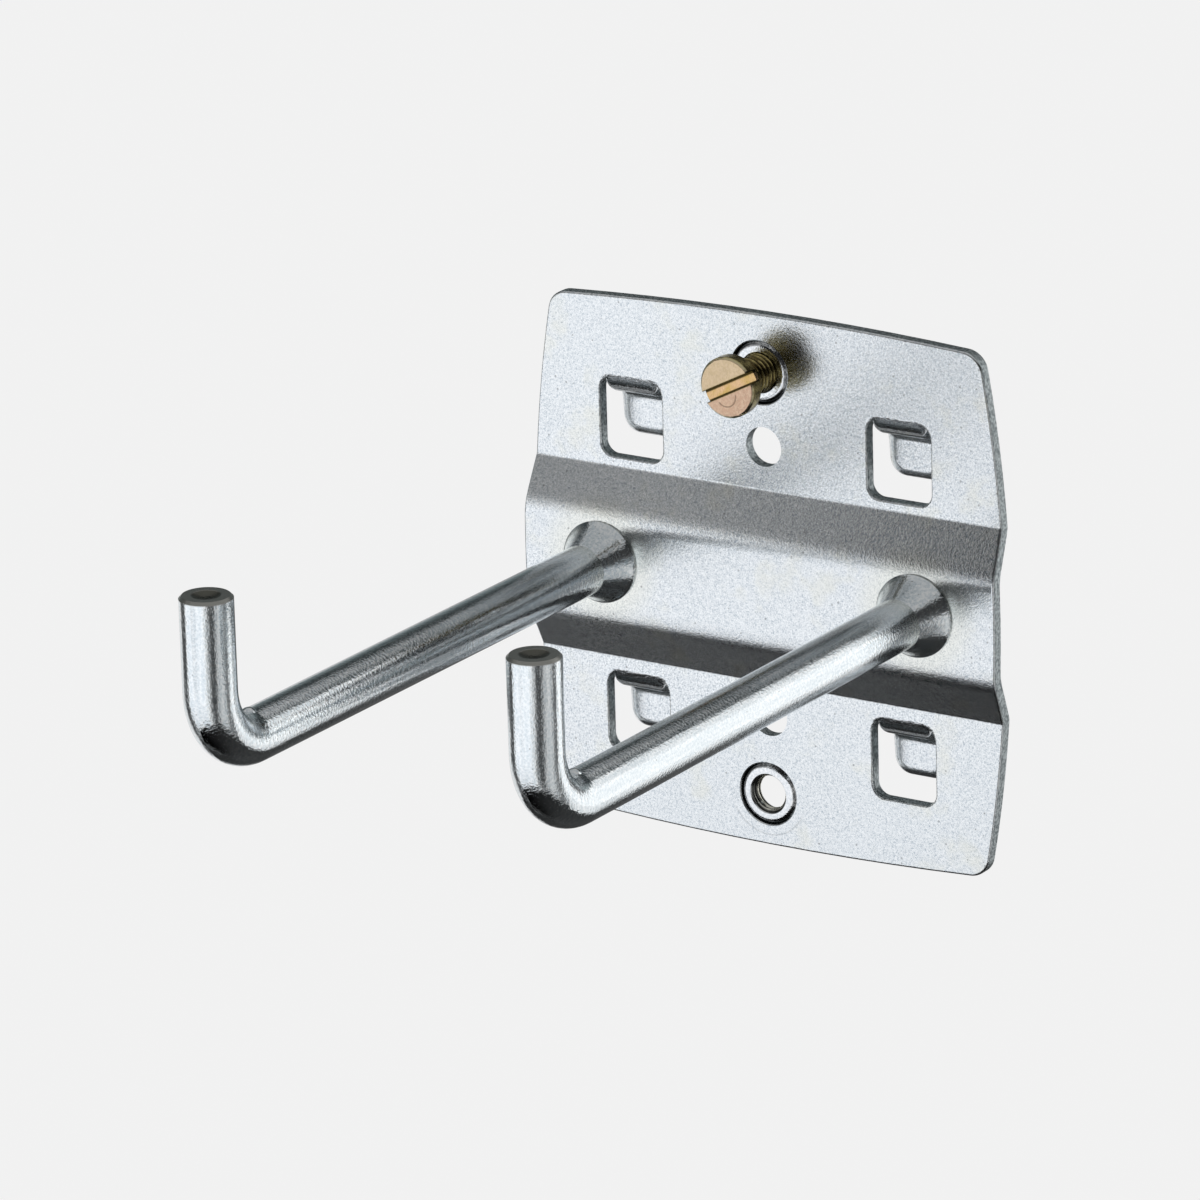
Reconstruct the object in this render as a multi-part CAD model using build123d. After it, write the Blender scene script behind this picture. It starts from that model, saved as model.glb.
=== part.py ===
"""Double tool hook for a perforated tool panel.

A stamped sheet-steel plate with a raised cross bead carries two round hooks, four hooked tabs
lanced out of square windows, two press-in threaded rings and one slotted locking screw.

Millimetres. X runs across the plate, Y runs back into the panel, Z is up.
The origin is the centre of the plate, on the back plane of its two flat wings.
"""
import os
from math import atan2, cos, radians, sin, tan

from build123d import *

# Driving dimensions
SHEET = 1.5             # sheet thickness of the plate and of its tabs
CROWN_X, CROWN_Z = 33.5, 33.9       # half width and half height at the crowns of the barrel outline
SIDE_BOW, TOP_BOW = 3.2, 1.0        # how far the bowed sides and the bowed top and bottom bulge out
CORNER_R = 2.8          # rounding of the four corners
DIE_ROLL = 0.3          # rounding the punch leaves on the front edge of the blank

BEAD_RISE = 2.6         # how far the middle band stands in front of the wings
BEAD_BASE = 12.3        # half height of the bead where it leaves the wings
BEAD_TOP = 6.5          # half height of the bead where the flanks meet the raised band
BEAD_DROP = 0.6         # the bead sits this much below the hooks
BEAD_BASE_R = 0.8       # crease at the foot of each flank, front side
BEAD_TOP_R = 7.0        # soft bend onto the raised band, front side

PITCH = 38.0            # hole pitch of the tool panel, both ways
WINDOW_W, WINDOW_H = 8.9, 10.0
WINDOW_R = 1.7          # rounded window corners
WINDOW_ROLL = 0.25      # rounding the punch leaves on the front edge of each window
WINDOW_DROP = 1.1       # the window rows sit this much below the centre of the plate

TAB_W, TAB_TAPER = 8.3, 0.35        # width at the root, and what each side loses towards the tip
TAB_REACH = 8.1         # how far the tab hangs below the top of its window
TAB_GAP = 2.1           # room for the panel between the back of the plate and the tab
TAB_ROLL_R = 0.6        # inside radius where the tongue rolls back out of the plate
TAB_TIP_R = 2.4         # rounded lower corners of the tab
TAB_EDGE_R = 1.4        # rounded front edge of the tongue
TAB_ROOT = 1.2          # how far the tongue runs up into the sheet above its window

FIX_HOLE_R = 2.5        # two plain holes on the centre line
FIX_HOLE_IN = 16.7      # from the crown of the plate in to each hole

RING_R = 4.0            # press-in threaded rings, flush with the front of the wings
RING_X = -0.45          # both rings sit this much off the centre line
UPPER_RING_IN, LOWER_RING_IN = 7.4, 6.6     # from the crown of the plate in to each ring
RING_BEHIND = 0.6       # the rings stand this much behind the wings
RING_BEVEL_W, RING_BEVEL_H = 0.65, 0.4      # bevelled front edge, which leaves a groove round the face
RING_SOFT = 0.8         # rounding between the face and the bevel
RING_FLARE = 0.12       # broken front edge of the sheet round the ring
RING_WAIST = 0.25       # waist round the ring that the sheet is pressed into
RING_EDGE = 0.22        # broken back edge of the ring
BORE_R = 2.45           # threaded bore
BORE_EDGE = 0.15        # countersink at the front of the bore

ROD_R = 3.2             # hook rod
HOOK_IN = 11.1          # from the crown of each side in to the axis of its hook
LEG_Y = 86.0            # from the back of the plate to the axis of the upturned end
BEND_R = 7.9            # centre-line radius of the bend
TIP_Z = 19.4            # height of the cut end above the arm
TIP_CHAMFER = 0.35
DISH_R, DISH_DEPTH = 1.8, 0.45      # sheared hollow in the cut end
COLLAR_R, COLLAR_L = 5.2, 4.1       # upset collar against the plate
SPIGOT_R = 3.0          # part of the rod that goes through the plate
RIVET_R, RIVET_H = 4.8, 1.7         # head closed over behind the raised band
BEAD_NIB = (0.95, 1.0, 0.75)        # half sizes of the swelling in the crook of the bend

SCREW_CLEARANCE = 0.05  # radial play of the screw in its bore
SCREW_OUT = 5.6         # how far the screw stands out: underside of head to front of plate
HEAD_R, HEAD_H = 3.8, 1.75
HEAD_EDGE = 0.3
SHANK_L = 8.0
SLOT_W, SLOT_DEPTH, SLOT_TURN = 1.4, 1.05, 27.0
POINT_CHAMFER = 0.5

MARGIN = 4.0            # how far the cutting shapes reach past the sheet

CORNER_X, CORNER_Z = CROWN_X - SIDE_BOW, CROWN_Z - TOP_BOW  # where the bowed sides and ends meet
HOOK_X = CROWN_X - HOOK_IN          # hooks stand at plus and minus this
FIX_HOLE_Z = CROWN_Z - FIX_HOLE_IN
RING_Z = {"upper_ring": CROWN_Z - UPPER_RING_IN, "lower_ring": LOWER_RING_IN - CROWN_Z}
FRONT = -SHEET                      # front plane of the wings
WAIST_Y = 0.4 * FRONT               # middle of the waist round each ring
BAND = -SHEET - BEAD_RISE           # front plane of the raised band
BAND_BACK = -BEAD_RISE              # and its back plane


def yz_face(points):
    """A face in the YZ plane from (y, z) pairs."""
    return make_face(Polyline(*[(0, y, z) for y, z in points], close=True))


def turned(profile, x, z):
    """Revolve (radius, y) pairs about the line through (x, z) along Y."""
    face = make_face(Polyline(*[(r, y, 0) for r, y in profile], close=True))
    return Pos(x, 0, z) * revolve(face, Axis.Y, 360)


def round_bar(r, x, z, y0, y1):
    """A cylinder along Y between y0 and y1."""
    return Pos(x, (y0 + y1) / 2, z) * Rot(X=90) * Cylinder(r, abs(y1 - y0))


def bend_round(face, corners):
    """Round each ((y, z), radius) corner of a YZ face."""
    for (y, z), radius in corners:
        near = face.vertices().sort_by_distance((0, y, z))[0]
        face = fillet(near, radius)
    return face


def beaded_sheet():
    """The sheet with its bead pressed in, before the outline is cut."""
    slope = atan2(BEAD_RISE, BEAD_BASE - BEAD_TOP)
    shift = SHEET * tan(slope / 2)              # mitre of the back face against the front face
    tall = CROWN_Z + MARGIN
    up_base, up_top = BEAD_BASE - BEAD_DROP, BEAD_TOP - BEAD_DROP
    lo_base, lo_top = -BEAD_BASE - BEAD_DROP, -BEAD_TOP - BEAD_DROP
    front = [(FRONT, tall), (FRONT, up_base), (BAND, up_top),
             (BAND, lo_top), (FRONT, lo_base), (FRONT, -tall)]
    back = [(0, -tall), (0, lo_base + shift), (BAND_BACK, lo_top + shift),
            (BAND_BACK, up_top - shift), (0, up_base - shift), (0, tall)]
    radii = [None, BEAD_BASE_R, BEAD_TOP_R, BEAD_TOP_R, BEAD_BASE_R, None,
             None, BEAD_BASE_R + SHEET, BEAD_TOP_R - SHEET, BEAD_TOP_R - SHEET, BEAD_BASE_R + SHEET, None]
    corners = [(p, r) for p, r in zip(front + back, radii) if r]
    profile = bend_round(yz_face(front + back), corners)
    return extrude(profile, CROWN_X + MARGIN, both=True, dir=(1, 0, 0))


def blank_outline():
    """Barrel-shaped outline in the XZ plane, drawn in local (x, z)."""
    tl, tr = (-CORNER_X, CORNER_Z), (CORNER_X, CORNER_Z)
    bl, br = (-CORNER_X, -CORNER_Z), (CORNER_X, -CORNER_Z)
    edges = (ThreePointArc(tl, (0, CROWN_Z), tr) + ThreePointArc(tr, (CROWN_X, 0), br)
             + ThreePointArc(br, (0, -CROWN_Z), bl) + ThreePointArc(bl, (-CROWN_X, 0), tl))
    face = make_face(edges)
    return fillet(face.vertices(), CORNER_R)


def facing(sketch, x, z, y0, y1):
    """Stand a local (x, z) sketch in the XZ plane at (x, z) and give it depth from y0 to y1."""
    plane = Plane(origin=(x, y1, z), x_dir=(1, 0, 0), z_dir=(0, -1, 0))
    return extrude(plane * sketch, y1 - y0)


def window_centres():
    half = PITCH / 2
    return [(sx * half, sz * half - WINDOW_DROP) for sx in (-1, 1) for sz in (1, -1)]


def tab(x, z):
    """Tongue that rolls back out of the window's upper edge and hangs down behind the plate."""
    top = z + WINDOW_H / 2
    face_y = TAB_GAP                            # front face of the hanging part
    hook_r = face_y - TAB_ROLL_R                # inside radius of the second bend
    outer = TAB_ROLL_R + SHEET
    shelf = top - outer                         # underside of the shelf between the bends
    root = top + TAB_ROOT
    pts = [(FRONT, root), (FRONT, shelf), (face_y, shelf), (face_y, top - TAB_REACH),
           (face_y + SHEET, top - TAB_REACH), (face_y + SHEET, shelf + SHEET), (0, shelf + SHEET), (0, root)]
    corners = [(pts[1], outer - 0.01), (pts[2], hook_r - 0.01), (pts[5], hook_r + SHEET - 0.02),
               (pts[6], TAB_ROLL_R - 0.01)]
    strip = Pos(x, 0, 0) * extrude(bend_round(yz_face(pts), corners), TAB_W / 2, both=True, dir=(1, 0, 0))
    half, low = TAB_W / 2, -TAB_REACH
    plan = make_face(Polyline((-half, 2), (-half, -outer), (-half + TAB_TAPER, low), (half - TAB_TAPER, low),
                              (half, -outer), (half, 2), close=True))
    plan = fillet(plan.vertices().sort_by(Axis.Y)[:2], TAB_TIP_R)
    tongue = strip & facing(plan, x, top, FRONT - 1, face_y + SHEET + 1)
    flat = [e for e in tongue.edges()
            if abs(e.center().Y - face_y) < 0.01 and e.bounding_box().size.Y < 0.01]
    lip = [e for e in flat if e.center().Z < shelf - hook_r - 0.1]
    return fillet(lip, TAB_EDGE_R)


def waist():
    """The (radius, y) points of the waist, shared by the ring and by the hole it is pressed into."""
    return [(RING_R, WAIST_Y - RING_WAIST), (RING_R - RING_WAIST, WAIST_Y), (RING_R, WAIST_Y + RING_WAIST)]


def ring_profile():
    """Half section of a press-in ring as (radius, y), from its front face to its back face."""
    bevel = [(RING_R - RING_BEVEL_W, FRONT), (RING_R, FRONT + RING_BEVEL_H)]
    back_edge = [(RING_R, RING_BEHIND - RING_EDGE), (RING_R - RING_EDGE, RING_BEHIND)]
    return [(0, FRONT), *bevel, *waist(), *back_edge, (0, RING_BEHIND)]


def ring_seat():
    """The hole in the sheet that the ring fills, flared at the front and square at the back."""
    wide = RING_R + RING_FLARE
    return [(0, FRONT - 1), (wide, FRONT - 1), (wide, FRONT), (RING_R, FRONT + RING_FLARE), *waist(),
            (RING_R, 1), (0, 1)]


def make_plate():
    plate = beaded_sheet() & facing(blank_outline(), 0, 0, BAND - 2, 2)
    rim = plate.edges().filter_by(on_front_rim)
    plate = fillet(rim, DIE_ROLL)
    for x, z in window_centres():
        plate -= facing(RectangleRounded(WINDOW_W, WINDOW_H, WINDOW_R), x, z, FRONT - 1, 1)
    plate = fillet(plate.edges().filter_by(on_window_rim), WINDOW_ROLL)
    for x, z in window_centres():
        plate += tab(x, z)
    for sz in (-1, 1):
        plate -= round_bar(FIX_HOLE_R, 0, sz * FIX_HOLE_Z, FRONT - 1, 1)
    for ring_z in RING_Z.values():
        plate -= turned(ring_seat(), RING_X, ring_z)
    for sx in (-1, 1):
        plate -= round_bar(SPIGOT_R, sx * HOOK_X, 0, BAND - 1, 1)
    return plate


def on_window_rim(edge):
    """True for the edges of the four windows on the front of the wings."""
    c = edge.center()
    half_w, half_h = WINDOW_W / 2 + 0.1, WINDOW_H / 2 + 0.1
    near = any(abs(c.X - x) < half_w and abs(c.Z - z) < half_h for x, z in window_centres())
    return near and abs(c.Y - FRONT) < 0.01


def on_front_rim(edge):
    """True for outline edges on the front of the beaded sheet."""
    c = edge.center()
    inside = abs(c.X) < CORNER_X - CORNER_R and abs(c.Z) < CORNER_Z - CORNER_R
    if inside or edge.length < 0.05:
        return False
    up = c.Z + BEAD_DROP
    run = BEAD_BASE - BEAD_TOP
    depth = max(0.0, min(1.0, (BEAD_BASE - abs(up)) / run)) * BEAD_RISE
    return c.Y < FRONT / 2 - depth and abs(edge.tangent_at(0.5).Y) < 0.9


def make_hook(side):
    x = side * HOOK_X
    knee = -(LEG_Y - BEND_R)
    start = (x, BAND, 0)
    mid = (x, knee - BEND_R * sin(radians(45)), BEND_R * (1 - cos(radians(45))))
    arm = Line(start, (x, knee, 0))
    bend = ThreePointArc((x, knee, 0), mid, (x, -LEG_Y, BEND_R))
    leg = Line((x, -LEG_Y, BEND_R), (x, -LEG_Y, TIP_Z))
    section = Plane(origin=start, z_dir=(0, -1, 0)) * Circle(ROD_R)
    rod = sweep(section, path=Wire([arm, bend, leg]))
    tip = rod.edges().sort_by(Axis.Z)[-1]
    rod = chamfer(tip, TIP_CHAMFER)
    ball = (DISH_R ** 2 + DISH_DEPTH ** 2) / (2 * DISH_DEPTH)
    rod -= Pos(x, -LEG_Y, TIP_Z - DISH_DEPTH + ball) * Sphere(ball)
    rod += turned(collar_profile(), x, 0)
    nib = Pos(x, knee - 0.6, ROD_R - 0.3) * scale(Sphere(1), by=BEAD_NIB)
    return rod + nib


def collar_profile():
    """Spigot, rivet head and flared collar as (radius, y)."""
    small, wide = ROD_R, COLLAR_R
    flare = [(wide, BAND), (wide, BAND - 0.25)]
    steps = 10
    for i in range(steps + 1):
        t = i / steps
        r = wide - 0.15 - (wide - 0.15 - small) * (t ** 0.85)
        flare.append((r, BAND - 0.4 - (COLLAR_L - 0.4) * t))
    dome = [(RIVET_R * cos(a), BAND_BACK + 0.5 + (RIVET_H - 0.5) * sin(a))
            for a in (radians(d) for d in range(0, 90, 15))]
    spigot = [(SPIGOT_R, BAND), (SPIGOT_R, BAND_BACK), (RIVET_R, BAND_BACK)]
    return [(0, BAND - COLLAR_L)] + flare[::-1] + spigot + dome + [(0, BAND_BACK + RIVET_H)]


def make_ring(name):
    """A waisted ring with a bevelled front edge and a countersunk bore."""
    z = RING_Z[name]
    ring = turned(ring_profile(), RING_X, z)
    ring = fillet(ring.edges().sort_by(Axis.Y)[0], RING_SOFT)
    ring -= round_bar(BORE_R, RING_X, z, FRONT - 1, RING_BEHIND + 1)
    mouth = [e for e in ring.edges() if e.geom_type == GeomType.CIRCLE and abs(e.radius - BORE_R) < 0.01]
    return chamfer(min(mouth, key=lambda e: e.center().Y), BORE_EDGE)


def make_screw():
    shank_r = BORE_R - SCREW_CLEARANCE
    under = FRONT - SCREW_OUT
    face = under - HEAD_H
    tip = under + SHANK_L
    profile = [(0, face), (HEAD_R - HEAD_EDGE, face), (HEAD_R, face + HEAD_EDGE), (HEAD_R, under),
               (shank_r, under), (shank_r, tip - POINT_CHAMFER), (shank_r - POINT_CHAMFER, tip), (0, tip)]
    z = RING_Z["upper_ring"]
    screw = turned(profile, RING_X, z)
    cutter = Box(HEAD_R * 3, SLOT_DEPTH + 1, SLOT_W)
    return screw - Pos(RING_X, face + SLOT_DEPTH / 2 - 0.5, z) * Rot(Y=-SLOT_TURN) * cutter


def main():
    os.makedirs("parts", exist_ok=True)
    solids = {
        "back_plate": make_plate(),
        "left_hook": make_hook(-1),
        "right_hook": make_hook(1),
        "upper_ring": make_ring("upper_ring"),
        "lower_ring": make_ring("lower_ring"),
        "locking_screw": make_screw(),
    }
    for node, shape in solids.items():
        export_step(shape, f"parts/{node}.step")
        box = shape.bounding_box()
        print(node, len(shape.solids()), round(shape.volume, 1), box.min, box.max)


main()
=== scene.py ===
# %% [markdown]
# # A double tool hook in bright zinc
#
# The part hangs on a perforated tool panel: a pressed steel plate with a raised cross bead, four
# tongues that hook into the panel, two round hooks, two threaded rings and one slotted screw.
# The solids come from the packed model and are never moved here. This lesson gives them their
# light and their finishes, and it adds the slotted head of the screw and the fine threads, which
# the solids leave plain.

# %% Load the packed solids
import bpy
import numpy as np
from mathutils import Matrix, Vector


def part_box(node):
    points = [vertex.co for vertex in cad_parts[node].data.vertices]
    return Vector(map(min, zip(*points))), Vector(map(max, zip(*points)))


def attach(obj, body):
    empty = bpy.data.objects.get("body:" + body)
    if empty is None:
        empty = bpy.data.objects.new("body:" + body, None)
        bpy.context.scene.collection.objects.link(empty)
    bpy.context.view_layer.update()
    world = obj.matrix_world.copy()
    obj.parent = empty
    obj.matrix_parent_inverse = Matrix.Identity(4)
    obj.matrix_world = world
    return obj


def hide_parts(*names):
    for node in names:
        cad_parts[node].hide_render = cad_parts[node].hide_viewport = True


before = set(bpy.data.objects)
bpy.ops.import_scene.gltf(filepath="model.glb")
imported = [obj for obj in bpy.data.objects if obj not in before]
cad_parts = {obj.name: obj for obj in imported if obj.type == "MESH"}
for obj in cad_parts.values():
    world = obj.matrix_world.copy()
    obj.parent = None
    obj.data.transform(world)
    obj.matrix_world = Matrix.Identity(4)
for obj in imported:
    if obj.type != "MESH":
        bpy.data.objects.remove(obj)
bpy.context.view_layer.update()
MM = 0.001
boxes = {node: np.array(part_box(node)) / MM for node in sorted(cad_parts)}
for node, (low, high) in boxes.items():
    print(node, np.round(high - low, 1), "mm")


def axis_line(node):
    """X and Z, in millimetres, of the line that a round piece is turned about."""
    low, high = boxes[node]
    return (low[0] + high[0]) / 2, (low[2] + high[2]) / 2


HOOK_X = axis_line("right_hook")[0]
SCREW_X, SCREW_Z = axis_line("locking_screw")
RING_X, RING_Z = axis_line("lower_ring")
ROD_R = 3.2
TIP_Z, LEG_Y = boxes["right_hook"][1][2], boxes["right_hook"][0][1] + ROD_R
print("hooks at", np.round(HOOK_X, 2), "screw at", np.round([SCREW_X, SCREW_Z], 2),
      "empty ring at", np.round([RING_X, RING_Z], 2))

# %% [markdown]
# ## The camera
#
# The photograph was taken from the front right, a little above, with a long lens from about a
# metre away. Azimuth is counted from the front towards the right, elevation above the horizon,
# and the roll is the slight tilt of the picture. The camera could be aimed with a constraint,
# but three plain axes worked out from the angles say exactly where it is.

# %% Camera
AZIMUTH, ELEVATION, ROLL = np.radians([33.377, 18.105, -1.645])
AIM = np.array([-25.272, 0.0, -6.588]) * MM
DISTANCE = 1.03495
LENS, SENSOR = 251.74, 36.0


def direction(azimuth, elevation):
    """Unit vector towards an azimuth and elevation in radians: (sin a cos e, -cos a cos e, sin e)."""
    return np.stack([np.sin(azimuth) * np.cos(elevation), -np.cos(azimuth) * np.cos(elevation),
                     np.sin(elevation) + 0 * azimuth], axis=-1)


back = direction(AZIMUTH, ELEVATION)
level = np.cross(-back, (0, 0, 1))
level /= np.linalg.norm(level)
lift = np.cross(level, -back)
right = np.cos(ROLL) * level + np.sin(ROLL) * lift
upward = -np.sin(ROLL) * level + np.cos(ROLL) * lift
place = np.eye(4)
place[:3, 0], place[:3, 1], place[:3, 2], place[:3, 3] = right, upward, back, AIM + back * DISTANCE
camera = bpy.data.objects.new("camera", bpy.data.cameras.new("camera"))
camera.data.lens, camera.data.sensor_width = LENS, SENSOR
camera.data.clip_start, camera.data.clip_end = 0.05, 50
bpy.context.scene.collection.objects.link(camera)
camera.matrix_world = place.T.tolist()
bpy.context.scene.camera = camera
bpy.context.scene.view_settings.view_transform = "Standard"
print("camera at", np.round(place[:3, 3] / MM, 1), "mm")

# %% [markdown]
# ## Writing node trees as sums
#
# Each finish is a tree of small nodes. Placing them by hand hides what they work out, so one
# class wraps a socket and lets Python's own signs add the Math nodes, and one method adds
# every other node from its type, its settings and what its sockets get.

# %% Sockets that can be summed


class Wire:
    """One output socket: wire + 1, 1 - wire, wire ** 2 and abs(wire) each add a Math node."""

    def __init__(self, recipe, socket):
        self.recipe, self.socket = recipe, socket

    def maths(self, operation, *terms):
        return self.recipe.node("ShaderNodeMath", {"operation": operation}, dict(enumerate(terms)))

    def __add__(self, other):
        return self.maths("ADD", self, other)

    def __sub__(self, other):
        return self.maths("SUBTRACT", self, other)

    def __rsub__(self, other):
        return self.maths("SUBTRACT", other, self)

    def __mul__(self, other):
        return self.maths("MULTIPLY", self, other)

    def __truediv__(self, other):
        return self.maths("DIVIDE", self, other)

    def __pow__(self, other):
        return self.maths("POWER", self, other)

    def __abs__(self):
        return self.maths("ABSOLUTE", self)

    __radd__, __rmul__ = __add__, __mul__


print("a wire adds Math nodes for + - * / ** and abs")

# %% Recipe for a node tree


class Recipe:
    """A material's or world's node tree, written from empty."""

    def __init__(self, owner):
        owner.use_nodes = True
        self.tree = owner.node_tree
        self.tree.nodes.clear()

    def node(self, kind, settings=None, sockets=None, out=0):
        """Add a node: its settings first, then a value or a Wire for each named socket."""
        made = self.tree.nodes.new(kind)
        for name, value in (settings or {}).items():
            setattr(made, name, value)
        for name, value in (sockets or {}).items():
            if isinstance(value, Wire):
                self.tree.links.new(value.socket, made.inputs[name])
            else:
                made.inputs[name].default_value = value
        return Wire(self, made.outputs[out]) if made.outputs else made

    def blend(self, share, first, second):
        """Colour between two others: share 0 gives the first and 1 the second."""
        return self.node("ShaderNodeMix", {"data_type": "RGBA"}, {0: share, 6: first, 7: second}, out=2)

    def ease(self, value, low, high):
        """0 below low, 1 above high, and a smooth S between them; the other way if low > high."""
        return self.node("ShaderNodeMapRange", {"interpolation_type": "SMOOTHSTEP"},
                         {"Value": value, "From Min": low, "From Max": high})

    def noise(self, where, size, detail=2.0, rough=0.5):
        """Noise from 0 to 1 whose lumps are about size millimetres across."""
        return self.node("ShaderNodeTexNoise", {}, {"Vector": where, "Scale": 1 / (size * MM),
                                                    "Detail": detail, "Roughness": rough})

    def split(self, where):
        """The X, Y and Z of a position, in millimetres."""
        return [self.node("ShaderNodeSeparateXYZ", {}, {0: where}, out=k) * (1 / MM) for k in range(3)]

    def apart(self, here, there):
        """Length of the step between two places, each given as a list of coordinates."""
        squares = [(h - t) ** 2 for h, t in zip(here, there)]
        return sum(squares[1:], squares[0]) ** 0.5

    def either(self, first, *others):
        """The largest of several masks or values."""
        for other in others:
            first = self.node("ShaderNodeMath", {"operation": "MAXIMUM"}, {0: first, 1: other})
        return first

    def stretch(self, where, factors):
        """Coordinates multiplied by one factor for each axis."""
        return self.node("ShaderNodeVectorMath", {"operation": "MULTIPLY"}, {0: where, 1: factors})


print("a recipe can add", sorted(step for step in vars(Recipe) if not step.startswith("_")))

# %% [markdown]
# ## A pale table and a pale room
#
# Metal has no colour of its own to speak of: it shows what stands round it. The table is pale
# and far enough below for its shadow to stay soft. To the camera and to the metal it is the
# same plain near-white as the room, with a share of ordinary paint that keeps the shadow.

# %% Room and table
PALE = 0.896
FLOOR_Z, FLOOR_HALF = -0.35, 9.0
PLAIN_SHARE = 0.85
world = bpy.data.worlds.new("room")
bpy.context.scene.world = world
room = Recipe(world)
air = room.node("ShaderNodeBackground", {}, {"Color": (PALE, PALE, PALE, 1), "Strength": 1.0})
room.node("ShaderNodeOutputWorld", {}, {"Surface": air})

floor_mesh = bpy.data.meshes.new("table")
floor_mesh.from_pydata([(sx * FLOOR_HALF, sy * FLOOR_HALF, FLOOR_Z) for sx, sy in
                        ((-1, -1), (1, -1), (1, 1), (-1, 1))], [], [(0, 1, 2, 3)])
table = bpy.data.objects.new("table", floor_mesh)
bpy.context.scene.collection.objects.link(table)
table_paint = bpy.data.materials.new("pale_table")
paint = Recipe(table_paint)
matt = paint.node("ShaderNodeBsdfDiffuse", {}, {"Color": (PALE, PALE, PALE, 1)})
plain = paint.node("ShaderNodeEmission", {}, {"Color": (PALE, PALE, PALE, 1), "Strength": 1.0})
rays = [paint.node("ShaderNodeLightPath", {}, {}, out=name) for name in
        ("Is Camera Ray", "Is Glossy Ray", "Is Transmission Ray")]
seen = paint.either(*rays)
top = paint.node("ShaderNodeMixShader", {}, {0: seen * PLAIN_SHARE, 1: matt, 2: plain})
paint.node("ShaderNodeOutputMaterial", {}, {"Surface": top})
floor_mesh.materials.append(table_paint)
print("table at", FLOOR_Z / MM, "mm")

# %% [markdown]
# ## Dark cards and a soft box
#
# Bright metal in an all-white room would look like paper. A photographer stands dark and grey
# cards round it, and their reflections draw the long dark lines on the rods and the dark
# flanks of the bead. Each card here is a piece of a sphere round the hook, graded from stop to
# stop. The camera doesn't see the cards: only the metal does.

# %% Card maker
CENTRE = np.array([0.0, -30.0, 0.0]) * MM
card_paint = bpy.data.materials.new("graded_card")
card = Recipe(card_paint)
glow = card.node("ShaderNodeAttribute", {"attribute_name": "glow"}, {}, out="Color")
card.node("ShaderNodeOutputMaterial", {}, {"Surface": card.node("ShaderNodeEmission", {}, {"Color": glow})})
card_paint.cycles.emission_sampling = "NONE"


def grid_faces(rows, columns, wrap_rows=False, wrap_columns=False):
    """Quads that join a rows by columns grid of points, closed round on itself where asked."""
    i = np.arange(rows if wrap_rows else rows - 1)[:, None]
    j = np.arange(columns if wrap_columns else columns - 1)[None, :]
    nxt_i, nxt_j = (i + 1) % rows, (j + 1) % columns
    corners = [i * columns + j, i * columns + nxt_j, nxt_i * columns + nxt_j, nxt_i * columns + j]
    return np.stack(np.broadcast_arrays(*corners), axis=-1).reshape(-1, 4)


def stand_card(name, az, el, radius, shade, tint=(1.0, 1.0, 1.0)):
    """A sphere patch: point = centre + radius * direction(az, el), lit by shade(az, el), in degrees."""
    a = np.linspace(az[0], az[1], int(abs(az[1] - az[0])) + 1)
    e = np.linspace(el[0], el[1], int(abs(el[1] - el[0]) / 2) + 2)
    aa, ee = np.meshgrid(a, e)
    points = CENTRE + radius * direction(np.radians(aa), np.radians(ee))
    mesh = bpy.data.meshes.new(name)
    mesh.from_pydata(points.reshape(-1, 3).tolist(), [], grid_faces(*aa.shape).tolist())
    light = mesh.attributes.new("glow", "FLOAT_COLOR", "POINT")
    colour = np.clip(shade(aa, ee), 0, None).reshape(-1, 1) * np.array([*tint, 1.0])
    light.data.foreach_set("color", colour.astype(np.float32).ravel())
    mesh.materials.append(card_paint)
    patch = bpy.data.objects.new(name, mesh)
    bpy.context.scene.collection.objects.link(patch)
    patch.visible_camera = patch.visible_diffuse = patch.visible_shadow = False
    print(name, "spans", az, "by", el, "degrees")
    return patch


def stops(*pairs):
    """Shade as straight runs between (degrees, brightness) stops."""
    at, level_there = zip(*pairs)
    return lambda degrees: np.interp(degrees, at, level_there)


print("cards stand round", np.round(CENTRE / MM, 1), "mm")

# %% Cards
RADIUS, LOW_RADIUS = 0.46, 0.31
LOW_EL, HIGH_EL = (-43, 2), (2, 40)
right_low = stops((14, 0.9), (19, 0.85), (27, 0.5), (35, 0.2), (40, 0.1), (45, 0.06), (50, 0.06), (53, 0.12),
                  (56, 0.25), (62, 0.42), (68, 0.52), (81, 0.62), (93, 0.57), (100, 0.32), (108, 0.14),
                  (120, 0.1))
stand_card("card_right", (14, 120), LOW_EL, RADIUS, lambda a, e: right_low(a))
back_low = stops((156, 0.12), (180, 0.1), (214, 0.1), (222, 0.5), (230, 0.8), (266, 0.8), (272, 0.25),
                 (279, 0.08), (296, 0.07), (300, 0.6), (302, 0.9))
stand_card("card_back", (156, 302), LOW_EL, RADIUS, lambda a, e: back_low(a))
under = stops((-180, 0.05), (-76, 0.02), (-74, 0.0), (-70, 0.24), (-67, 0.26), (-64, 0.0),
              (-44, 0.0), (180, 0.05))
stand_card("card_under", (-180, 180), (-90, -42), LOW_RADIUS, lambda a, e: under(a))
front_low = stops((-43, 0.86), (-24, 0.92), (-22, 1.03), (-18, 1.0), (-12, 1.04), (2, 1.06))
corner = stops((-34, 0.0), (-29, 0.14), (-26, 0.28), (-22, 0.28), (-12, 0.0))
corner_rise = stops((-19, 0.0), (-14, 0.8), (-10, 1.0), (2, 1.0))
stand_card("card_front", (-58, 14), LOW_EL, RADIUS,
           lambda a, e: front_low(e) * (1 - corner(a) * corner_rise(e)), (0.985, 1.0, 1.03))
front_high = stops((-84, 0.12), (-70, 0.12), (-62, 0.3), (-46, 0.22), (-39, 0.24), (-36.5, 0.58),
                   (-33.5, 0.54), (-31.5, 0.12), (-30, 0.0), (0, 0.02), (118, 0.05))
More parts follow.
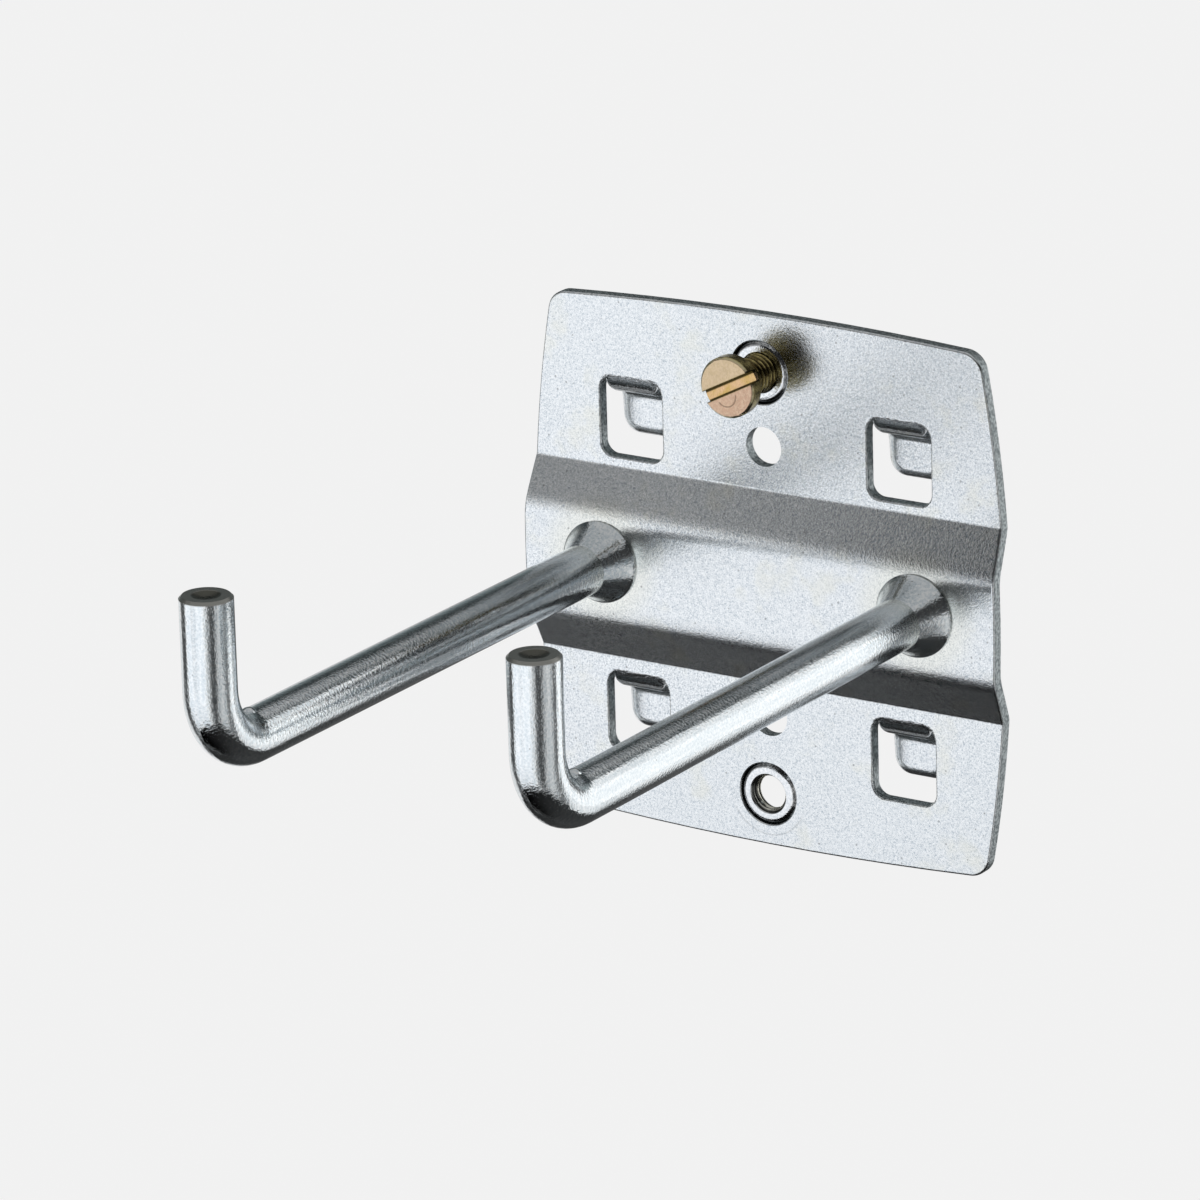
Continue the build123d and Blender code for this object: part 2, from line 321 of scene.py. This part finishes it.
front_fade = stops((2, 3.0), (10, 1.8), (20, 1.0), (40, 0.9))
stand_card("card_front_high", (-84, 118), HIGH_EL, RADIUS, lambda a, e: front_high(a) * front_fade(e))
back_fade = stops((2, 0.33), (16, 0.14), (28, 0.05), (40, 0.04))
stand_card("card_back_high", (156, 276), HIGH_EL, RADIUS, lambda a, e: back_fade(e) + 0 * a,
           (0.86, 1.0, 1.02))
stand_card("card_top", (0, 360), (40, 90), RADIUS, lambda a, e: 0.4 + 0 * a)

# %% [markdown]
# ## The soft box
#
# A soft box behind the hook, on the right, draws the white streak along the arms. A lamp that
# the metal mirrors adds to the pale room behind it, so a weak one is enough, and a strong one
# would burn the back of the plate out to white.

# %% Soft box
BOX_AZ, BOX_EL, BOX_FAR = np.radians(147.0), np.radians(-3.3), 0.62
BOX_W, BOX_H, BOX_LIGHT = 0.42, 0.477, 0.22
lamp = bpy.data.lights.new("soft_box", "AREA")
lamp.shape, lamp.size, lamp.size_y = "RECTANGLE", BOX_W, BOX_H
lamp.energy = BOX_LIGHT * np.pi * BOX_W * BOX_H
soft_box = bpy.data.objects.new("soft_box", lamp)
bpy.context.scene.collection.objects.link(soft_box)
out_to_box = direction(BOX_AZ, BOX_EL)
side = np.cross((0, 0, 1), out_to_box)
side /= np.linalg.norm(side)
hang = np.eye(4)
hang[:3, 0], hang[:3, 1], hang[:3, 2] = side, np.cross(out_to_box, side), out_to_box
hang[:3, 3] = CENTRE + out_to_box * BOX_FAR
soft_box.matrix_world = hang.T.tolist()
soft_box.visible_camera = False
print("soft box of", round(lamp.energy, 2), "W")

# %% [markdown]
# ## Bright zinc on sheet
#
# Blue-passivated zinc keeps the fine grain of the rolled steel under it. The grain tilts the
# surface a little here and there, so a place that mirrors the edge of a card sparkles with
# light and dark grains. Broad clouds change the colour from bluish to neutral, and round the
# collars the passivation dried with a faint yellow haze. The walls that the punch sheared are
# rough and darker, and it left the edges of the windows torn. The bump on those edges is about as
# wide as the rolled edges of the solid, because a form belongs in the mesh and not in a bump.

# %% Helpers for metal


def finish(name):
    """An emptied material, its recipe, and the Object coordinates that its patterns read."""
    material = bpy.data.materials.new(name)
    recipe = Recipe(material)
    return material, recipe, recipe.node("ShaderNodeTexCoord", {}, {}, out="Object")


def metal(recipe, colour, roughness, height, depth):
    """Close a metal finish: colour, roughness, and a bump of height 0 to 1 that is depth mm deep."""
    bump = recipe.node("ShaderNodeBump", {}, {"Strength": 1.0, "Distance": depth * MM, "Height": height})
    body = recipe.node("ShaderNodeBsdfPrincipled", {}, {"Base Color": colour, "Metallic": 1.0,
                                                         "Roughness": roughness, "Normal": bump})
    recipe.node("ShaderNodeOutputMaterial", {}, {"Surface": body})


def specks(recipe, where, spacing, radius, share):
    """Mask of round pits: one in each Voronoi cell about spacing mm wide, in a share of the cells."""
    sockets = {"Vector": where, "Scale": 1 / (spacing * MM)}
    near = recipe.node("ShaderNodeTexVoronoi", {}, sockets, out="Distance")
    lot = recipe.node("ShaderNodeTexVoronoi", {}, sockets, out="Color")
    chosen = recipe.node("ShaderNodeSeparateColor", {}, {0: lot}, out=0)
    pit = recipe.ease(near, radius / spacing, 0.5 * radius / spacing)
    return pit * recipe.ease(chosen, share, share - 0.05)


def crisp(recipe, value):
    """Noise with its soft middle pulled apart, so that the lumps have edges."""
    return recipe.ease(value, 0.33, 0.67)


print("helpers for metal:", [helper.__name__ for helper in (finish, metal, specks, crisp)])

# %% Torn window edges
WINDOW_W, WINDOW_H, WINDOW_R = 8.9, 10.0, 1.7
HALF_PITCH, WINDOW_DROP = 19.0, 1.1
ROLL_SIDE, ROLL_TOP, ROLL_SLOPE = 0.25, 0.6, 0.8


def window_place(recipe, x, z):
    """Distance from the middle column and from the middle row of the nearest window."""
    return abs(abs(x) - HALF_PITCH), z + WINDOW_DROP - z.maths("SIGN", z) * HALF_PITCH


def rolled_edge(recipe, across, up, wobble):
    """Depth of the roll round a window, wider on top: slope * width / 2 * (1 - distance / width) squared."""
    past_x = recipe.either(across - (WINDOW_W / 2 - WINDOW_R), 0.0)
    past_z = recipe.either(abs(up) - (WINDOW_H / 2 - WINDOW_R), 0.0)
    distance = (past_x ** 2 + past_z ** 2) ** 0.5 - WINDOW_R + wobble
    width = recipe.ease(up, WINDOW_H / 2 - 1.2, WINDOW_H / 2 + 0.2) * (ROLL_TOP - ROLL_SIDE) + ROLL_SIDE
    return recipe.either(1 - distance / width, 0.0) ** 2 * width * (ROLL_SLOPE / 2)


print("windows of", WINDOW_W, "by", WINDOW_H, "mm with edges rolled over", ROLL_SIDE, "to", ROLL_TOP, "mm")

# %% Sheet zinc
GRAIN_DEPTH, PRESS_MARK_R = 0.009, 5.25
HAZE_NEAR, HAZE_FAR = 5.5, 9.5
sheet_zinc, r, at = finish("sheet_zinc")
x, y, z = r.split(at)
lean = r.node("ShaderNodeSeparateXYZ", {}, {0: r.node("ShaderNodeTexCoord", {}, {}, out="Normal")}, out=1)
sheared = r.ease(abs(lean), 0.6, 0.3)
cloud = r.noise(at, 12.0, 3.0)
stain = r.ease(r.noise(at, 7.0, 4.0, 0.6), 0.52, 0.7)
blotch = r.noise(at, 1.7, 3.0, 0.6)
grain = crisp(r, r.noise(at, 0.36, 2.0, 0.55))
fine = crisp(r, r.noise(at, 0.17, 1.0, 0.5))
pits = r.either(specks(r, at, 1.3, 0.17, 0.4), specks(r, at, 0.7, 0.09, 0.3) * 0.7)
from_hooks = [r.apart([x, z], [s * HOOK_X, 0]) for s in (-1, 1)]
haze = r.ease(from_hooks[0].maths("MINIMUM", *from_hooks), HAZE_FAR, HAZE_NEAR) * 0.45
off_mark = r.apart([x, z], [RING_X, RING_Z]) - PRESS_MARK_R
mark = r.ease(abs(off_mark), 0.16, 0.05) * r.ease(z, RING_Z - 1.0, RING_Z - 3.5)
across, up = window_place(r, x, z)
wobble = (blotch + grain * 0.4) * 0.2 - 0.14
wing_front = r.ease(y, -1.0, -1.3)
roll = rolled_edge(r, across, up, wobble) * wing_front
tone = r.blend((grain * 0.4 + fine * 0.6) ** 0.5, (0.36, 0.43, 0.49, 1), (0.98, 1.0, 1.0, 1))
tone = r.blend(cloud * 0.3, tone, (0.88, 0.92, 0.97, 1))
tone = r.blend(r.either(haze, stain * 0.4), tone, (0.86, 0.85, 0.74, 1))
tone = r.blend(r.either(pits * 0.65, mark * 0.25), tone, (0.26, 0.27, 0.27, 1))
torn = r.blend(grain, (0.20, 0.23, 0.24, 1), (0.56, 0.61, 0.62, 1))
tone = r.blend(sheared, tone, torn)
relief = grain * 0.6 + fine * 0.4 + blotch * 0.3 - pits * 0.6 - roll * (1 / GRAIN_DEPTH)
metal(r, tone, 0.19 + blotch * 0.06 + sheared * 0.25, relief, GRAIN_DEPTH)
print("sheet_zinc has", len(sheet_zinc.node_tree.nodes), "nodes")

# %% [markdown]
# ## Bright zinc on drawn rod
#
# The rod was drawn through a die before it was bent, so its fine lines run along it: along Y
# on the arms and along Z on the upturned ends. Two noises stretched along those axes are
# blended at the bend. The cut end is bare and darker, and the hollow in it is painted darker still, as
# shade.

# %% Rod zinc
BEND_START, BEND_END = -76.0, -82.0
DISH_R, DISH_RIM = 1.6, 1.9
rod_zinc, r, at = finish("rod_zinc")
x, y, z = r.split(at)
on_leg = r.ease(y, BEND_START, BEND_END)
along_arm = r.noise(r.stretch(at, (1, 0.05, 1)), 0.45, 3.0, 0.6)
along_leg = r.noise(r.stretch(at, (1, 1, 0.08)), 0.45, 3.0, 0.6)
lines = crisp(r, along_arm * (1 - on_leg) + along_leg * on_leg)
blotch = r.noise(at, 2.2, 3.0, 0.6)
grain = crisp(r, r.noise(at, 0.34, 2.0, 0.55))
pits = specks(r, at, 0.9, 0.12, 0.35)
end_face = r.ease(z, TIP_Z - 0.5, TIP_Z - 0.3)
off_leg = r.apart([abs(x), y], [HOOK_X, LEG_Y])
painted_dish_shade = r.ease(off_leg, DISH_RIM, DISH_R) * r.ease(z, TIP_Z - 0.6, TIP_Z - 0.5)
tone = r.blend(grain * 0.6 + lines * 0.4, (0.70, 0.77, 0.81, 1), (0.95, 0.98, 0.99, 1))
tone = r.blend(pits * 0.6, tone, (0.25, 0.26, 0.26, 1))
tone = r.blend(r.either(end_face, painted_dish_shade), tone, (0.42, 0.42, 0.39, 1))
# Painted shade: the hollow in the cut end is painted near-black.
tone = r.blend(painted_dish_shade, tone, (0.14, 0.14, 0.12, 1))
relief = lines * 0.35 + grain * 0.65 + blotch * 0.3
metal(r, tone, 0.08 + blotch * 0.05 + end_face * 0.25, relief, 0.016)
print("rod_zinc has", len(rod_zinc.node_tree.nodes), "nodes")

# %% [markdown]
# ## Rings and screw
#
# The rings were turned from bar and plated with the sheet. Their bevelled edge is painted dark as shade,
# with grey specks of painted light on the side that faces the light, and the roots of their threads are
# painted dark as shade too. The screw is passivated yellow, a thin film whose colour swings between brass,
# pink and olive. Its flat face dried pink, the floor of the slot gold, and the side and thread olive. Its
# slot walls and thread roots are painted dark as shade, and its rounded rim carries a painted highlight.

# %% Ring zinc
CREST, ROOT = 2.4, 1.95
BORE, INNER = 2.45, 2.1
BEVEL_FROM = 3.4
ring_zinc, r, at = finish("ring_zinc")
x, y, z = r.split(at)
middle_z = r.ease(z, -1.0, 1.0) * (SCREW_Z - RING_Z) + RING_Z
radius = r.apart([x, z], [RING_X, middle_z])
grain = crisp(r, r.noise(at, 0.3, 2.0, 0.55))
blotch = r.noise(at, 1.1, 2.0)
painted_bevel_shade = r.ease(radius, BEVEL_FROM, BEVEL_FROM + 0.2)
lit_side = r.ease((x - RING_X) * 0.8 + (z - middle_z) * 0.6, -0.5, 2.8)
root = r.ease(radius, INNER + 0.1, BORE - 0.1) * r.ease(radius, BORE + 0.06, BORE + 0.03)
crest = r.ease(radius, BORE + 0.06, BORE + 0.03) * (1 - root)
tone = r.blend(grain, (0.72, 0.76, 0.79, 1), (0.98, 0.99, 1.0, 1))
# Painted shade: the bevelled edge is painted near-black, and painted light leaves grey specks on the side of
# it that faces the light.
tone = r.blend(painted_bevel_shade * (1 - lit_side * (grain * 0.5 + 0.35)), tone, (0.03, 0.035, 0.035, 1))
tone = r.blend(crest, tone, (0.86, 0.85, 0.74, 1))
# Painted shade: the roots between the thread's ridges are painted near-black.
tone = r.blend(root * 0.92, tone, (0.04, 0.04, 0.03, 1))
metal(r, tone, 0.12 + blotch * 0.06, grain, 0.006)
print("ring_zinc has", len(ring_zinc.node_tree.nodes), "nodes")

# %% Yellow screw
HEAD_H, HEAD_EDGE = 1.75, 0.3
FACE_Y, POINT_Y = boxes["locking_screw"][0][1], boxes["locking_screw"][1][1]
HEAD_R = (boxes["locking_screw"][1][0] - boxes["locking_screw"][0][0]) / 2
UNDER_Y = FACE_Y + HEAD_H
SLOT_W, SLOT_DEPTH, SLOT_TURN = 1.4, 1.05, np.radians(27.0)
ARC_X, ARC_Z, ARC_R = -0.1, -1.0, 1.35
screw_yellow, r, at = finish("screw_yellow")
x, y, z = r.split(at)
radius = r.apart([x, z], [SCREW_X, SCREW_Z])
across_slot = (z - SCREW_Z) * np.cos(SLOT_TURN) - (x - SCREW_X) * np.sin(SLOT_TURN)
off_slot = abs(across_slot)
blotch = crisp(r, r.noise(at, 1.3, 3.0, 0.6))
grain = crisp(r, r.noise(at, 0.3, 2.0, 0.55))
on_face = r.ease(y, FACE_Y + 0.16, FACE_Y + 0.06)
on_head = r.ease(y, UNDER_Y - 0.1, UNDER_Y - 0.2)
inside_slot = r.ease(off_slot, SLOT_W / 2 + 0.1, SLOT_W / 2 + 0.06) * on_head * (1 - on_face)
slot_floor = inside_slot * r.ease(across_slot, SLOT_W / 2 - 0.2, SLOT_W / 2 - 0.4) \
    * r.ease(across_slot, -SLOT_W / 2 + 0.1, -SLOT_W / 2 + 0.24)
painted_thread_shade = r.ease(radius, CREST - 0.03, CREST - 0.3) * (1 - on_head)
off_arc = r.apart([x, z], [SCREW_X + ARC_X, SCREW_Z + ARC_Z]) - ARC_R
arc = r.ease(abs(off_arc), 0.13, 0.04) * on_face * r.ease(across_slot, -1.1, -1.3)
rim = r.ease(y, FACE_Y + 0.03, FACE_Y + 0.1) * r.ease(y, FACE_Y + HEAD_EDGE, FACE_Y + 0.2)
rim = rim * (1 - inside_slot)
painted_slot_edge_shade = r.ease(off_slot, SLOT_W / 2 + 0.2, SLOT_W / 2 + 0.08) * on_face
tone = r.blend(blotch, (0.10, 0.072, 0.025, 1), (0.50, 0.41, 0.17, 1))
face_tone = r.blend(r.ease(across_slot, -0.9, 0.9), (0.60, 0.40, 0.28, 1), (0.62, 0.48, 0.30, 1))
face_tone = r.blend(grain * 0.35, face_tone, (0.80, 0.62, 0.45, 1))
# Painted shade: the face is darkened along the edges of the slot.
face_tone = r.blend(painted_slot_edge_shade * 0.6, face_tone, (0.30, 0.24, 0.10, 1))
tone = r.blend(on_face, tone, face_tone)
# Painted highlight: the head's rounded rim is painted a lighter yellow.
tone = r.blend(rim * 0.6, tone, (0.88, 0.80, 0.52, 1))
# Painted shade: the slot's walls and the strips of its floor beside them are painted near-black; the rest of
# the floor is the film's gold.
tone = r.blend(inside_slot, tone, (0.05, 0.036, 0.01, 1))
gold = r.blend(blotch, (0.62, 0.42, 0.15, 1), (0.80, 0.53, 0.30, 1))
tone = r.blend(slot_floor, tone, gold)
# Painted shade: the thread roots are painted near-black; the faint arc on the face is darkened with the same
# colour.
tone = r.blend(r.either(painted_thread_shade * 0.9, arc * 0.5), tone, (0.04, 0.033, 0.015, 1))
metal(r, tone, 0.13 + blotch * 0.1, grain, 0.007)
print("screw_yellow has", len(screw_yellow.node_tree.nodes), "nodes")

# %% [markdown]
# ## Threads
#
# A thread is one ridge wound into a helix. Seen as a surface, the radius at an angle and a
# depth follows a triangle wave whose phase is depth over pitch minus the share of a turn, so
# the whole thread is one formula on a grid and needs no helix curve.

# %% Ridges, tubes and pieces
PITCH_MM = 0.8


def ridge(depth, turn):
    """Triangle wave with flats: 1 on the crest and 0 in the root, once for each pitch."""
    phase = (depth / PITCH_MM - turn / (2 * np.pi)) % 1.0
    return np.clip(np.abs(2 * phase - 1) * 1.5 - 0.2, 0, 1)


def add_piece(name, points, faces, material, sharp=35.0):
    """A mesh object in metres from points in millimetres, smooth but for edges over the sharp angle."""
    mesh = bpy.data.meshes.new(name)
    mesh.from_pydata((points.reshape(-1, 3) * MM).tolist(), [], [tuple(f) for f in faces])
    mesh.polygons.foreach_set("use_smooth", np.ones(len(mesh.polygons), bool))
    mesh.set_sharp_from_angle(angle=np.radians(sharp))
    mesh.materials.append(material)
    piece = bpy.data.objects.new(name, mesh)
    bpy.context.scene.collection.objects.link(piece)
    print(name, len(mesh.polygons), "faces")
    return piece


def tube(radii, depths, turns):
    """Points at each depth along Y and each turn round the screw's line, radii[depth, turn] from it."""
    x = radii * np.cos(turns)
    z = radii * np.sin(turns)
    return np.stack([x, depths + 0 * x, z], axis=-1)


def capped(points):
    """Faces of a tube that is closed at both ends by fans to a middle point, and its points with them."""
    rows, columns = points.shape[:2]
    ends = np.stack([points[0].mean(0), points[-1].mean(0)])
    faces = grid_faces(rows, columns, wrap_columns=True).tolist()
    j = np.arange(columns)
    nxt = (j + 1) % columns
    first, last = rows * columns, rows * columns + 1
    faces += np.stack([nxt, j, first + 0 * j], -1).tolist()
    faces += np.stack([(rows - 1) * columns + j, (rows - 1) * columns + nxt, last + 0 * j], -1).tolist()
    return np.concatenate([points.reshape(-1, 3), ends]), faces


print("ridges every", PITCH_MM, "mm")

# %% Screw shank
TURN_STEPS, SHANK_ROWS = 72, 124
SUNK, PLAIN_NECK, RUN_OUT, POINT_CUT = 0.2, 0.1, 0.5, 0.5
turns = np.linspace(0, 2 * np.pi, TURN_STEPS + 1)[:-1][None, :]
depths = np.linspace(UNDER_Y - SUNK, POINT_Y, SHANK_ROWS)[:, None]
grown = np.clip((depths - UNDER_Y - PLAIN_NECK) / RUN_OUT, 0, 1)
shank_radii = ROOT + (CREST - ROOT) * ridge(depths, turns) * grown
shank_radii = np.minimum(shank_radii, CREST - np.clip(depths - (POINT_Y - POINT_CUT), 0, 1))
shank = tube(shank_radii, depths, turns) + np.array([SCREW_X, 0, SCREW_Z])
shank_points, shank_faces = capped(shank)
print("shank of radius", np.round([shank_radii.min(), shank_radii.max()], 2), "mm")

# %% [markdown]
# ## The screw's head
#
# The real head is a turned disc with a soft rim and a milled slot. A boolean cut would leave long
# thin faces round the slot, so the head is cut into slices across it instead. Each slice is a
# closed outline of eight points, and where a slice lies in the slot its top drops to the floor of
# the slot. A slice at q from the middle is as long as the disc's chord there, 2 * sqrt(R * R - q * q).

# %% Screw head
EDGE, HEAD_SLICES, UNDER_BAND = 0.08, 61, 0.25
half_slot = SLOT_W / 2
across = HEAD_R * np.sin(np.linspace(-np.pi / 2, np.pi / 2, HEAD_SLICES))
outside = across[np.abs(across) > half_slot + EDGE + 0.02]
inside = np.linspace(-half_slot, half_slot, 5)
slot_side = [half_slot + EDGE, half_slot]
q = np.concatenate([outside[outside < 0], [-slot_side[0], -slot_side[1]], inside, slot_side[::-1],
                    outside[outside > 0]])
floor_y = FACE_Y + SLOT_DEPTH
top_y = np.full(q.shape, FACE_Y)
first_in = int(np.sum(outside < 0)) + 1
top_y[first_in] = top_y[first_in + 6] = FACE_Y + EDGE
top_y[first_in + 1:first_in + 6] = floor_y
chord = np.sqrt(np.clip(HEAD_R ** 2 - q ** 2, 0, None))
top_chord = np.sqrt(np.clip((HEAD_R - HEAD_EDGE) ** 2 - q ** 2, 0, None))
in_slot = top_y > FACE_Y + HEAD_EDGE
top_chord = np.where(in_slot, chord, top_chord)
shoulder_y = np.where(in_slot, floor_y, FACE_Y + HEAD_EDGE)
p = np.stack([-chord, -chord, -chord, -top_chord, top_chord, chord, chord, chord], axis=1)
base_y, band_y = UNDER_Y + 0 * q, UNDER_Y - UNDER_BAND + 0 * q
y = np.stack([base_y, band_y, shoulder_y, top_y, top_y, shoulder_y, band_y, base_y], axis=1)
qq = q[:, None] + 0 * p
head = np.stack([p * np.cos(SLOT_TURN) - qq * np.sin(SLOT_TURN) + SCREW_X, y,
                 p * np.sin(SLOT_TURN) + qq * np.cos(SLOT_TURN) + SCREW_Z], axis=-1)
head_points, head_faces = capped(head)
head_piece = add_piece("screw_head", head_points, head_faces, screw_yellow)
shank_piece = add_piece("screw_shank", shank_points, shank_faces, screw_yellow, 60.0)
for piece in (head_piece, shank_piece):
    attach(piece, "screw")
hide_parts("locking_screw")

# %% [markdown]
# ## The empty ring's thread
#
# The lower ring is open, and its thread shows as a few bright ridges inside the hole. The same
# triangle wave gives them, turned inwards, on a thin sleeve that lies against the bore.

# %% Lower ring thread
MOUTH, LEAD_IN, LAND_ROWS = 0.3, 0.3, 40
front_y, back_y = boxes["lower_ring"][0][1] + MOUTH, boxes["lower_ring"][1][1] - 0.06
lands = np.linspace(front_y, back_y, LAND_ROWS)[:, None]
rise = np.clip((lands - front_y) / LEAD_IN, 0, 1) * np.clip((back_y - lands) / LEAD_IN, 0, 1)
inner = BORE - (BORE - INNER) * ridge(lands, turns) * rise
wall = tube(np.full((2, turns.size), BORE + 0.03), np.array([[back_y], [front_y]]), turns)
sleeve = np.concatenate([tube(inner, lands, turns), wall]) + np.array([RING_X, 0, RING_Z])
sleeve_faces = grid_faces(*sleeve.shape[:2], wrap_rows=True, wrap_columns=True)
thread = add_piece("lower_ring_thread", sleeve, sleeve_faces, ring_zinc, 60.0)
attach(thread, "hook_plate")

# %% [markdown]
# ## Dressing the solids
#
# Five of the solids already have the real shapes, so they aren't modelled again: each keeps its
# own mesh and gets the finish of its piece in its material slot. The sixth, the plain screw, is
# hidden by its new head.

# %% Finishes on the solids
dress = {"back_plate": sheet_zinc, "left_hook": rod_zinc, "right_hook": rod_zinc, "upper_ring": ring_zinc,
         "lower_ring": ring_zinc}
for node, material in dress.items():
    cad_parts[node].material_slots[0].material = material
print("dressed", sorted(dress))

# %% [markdown]
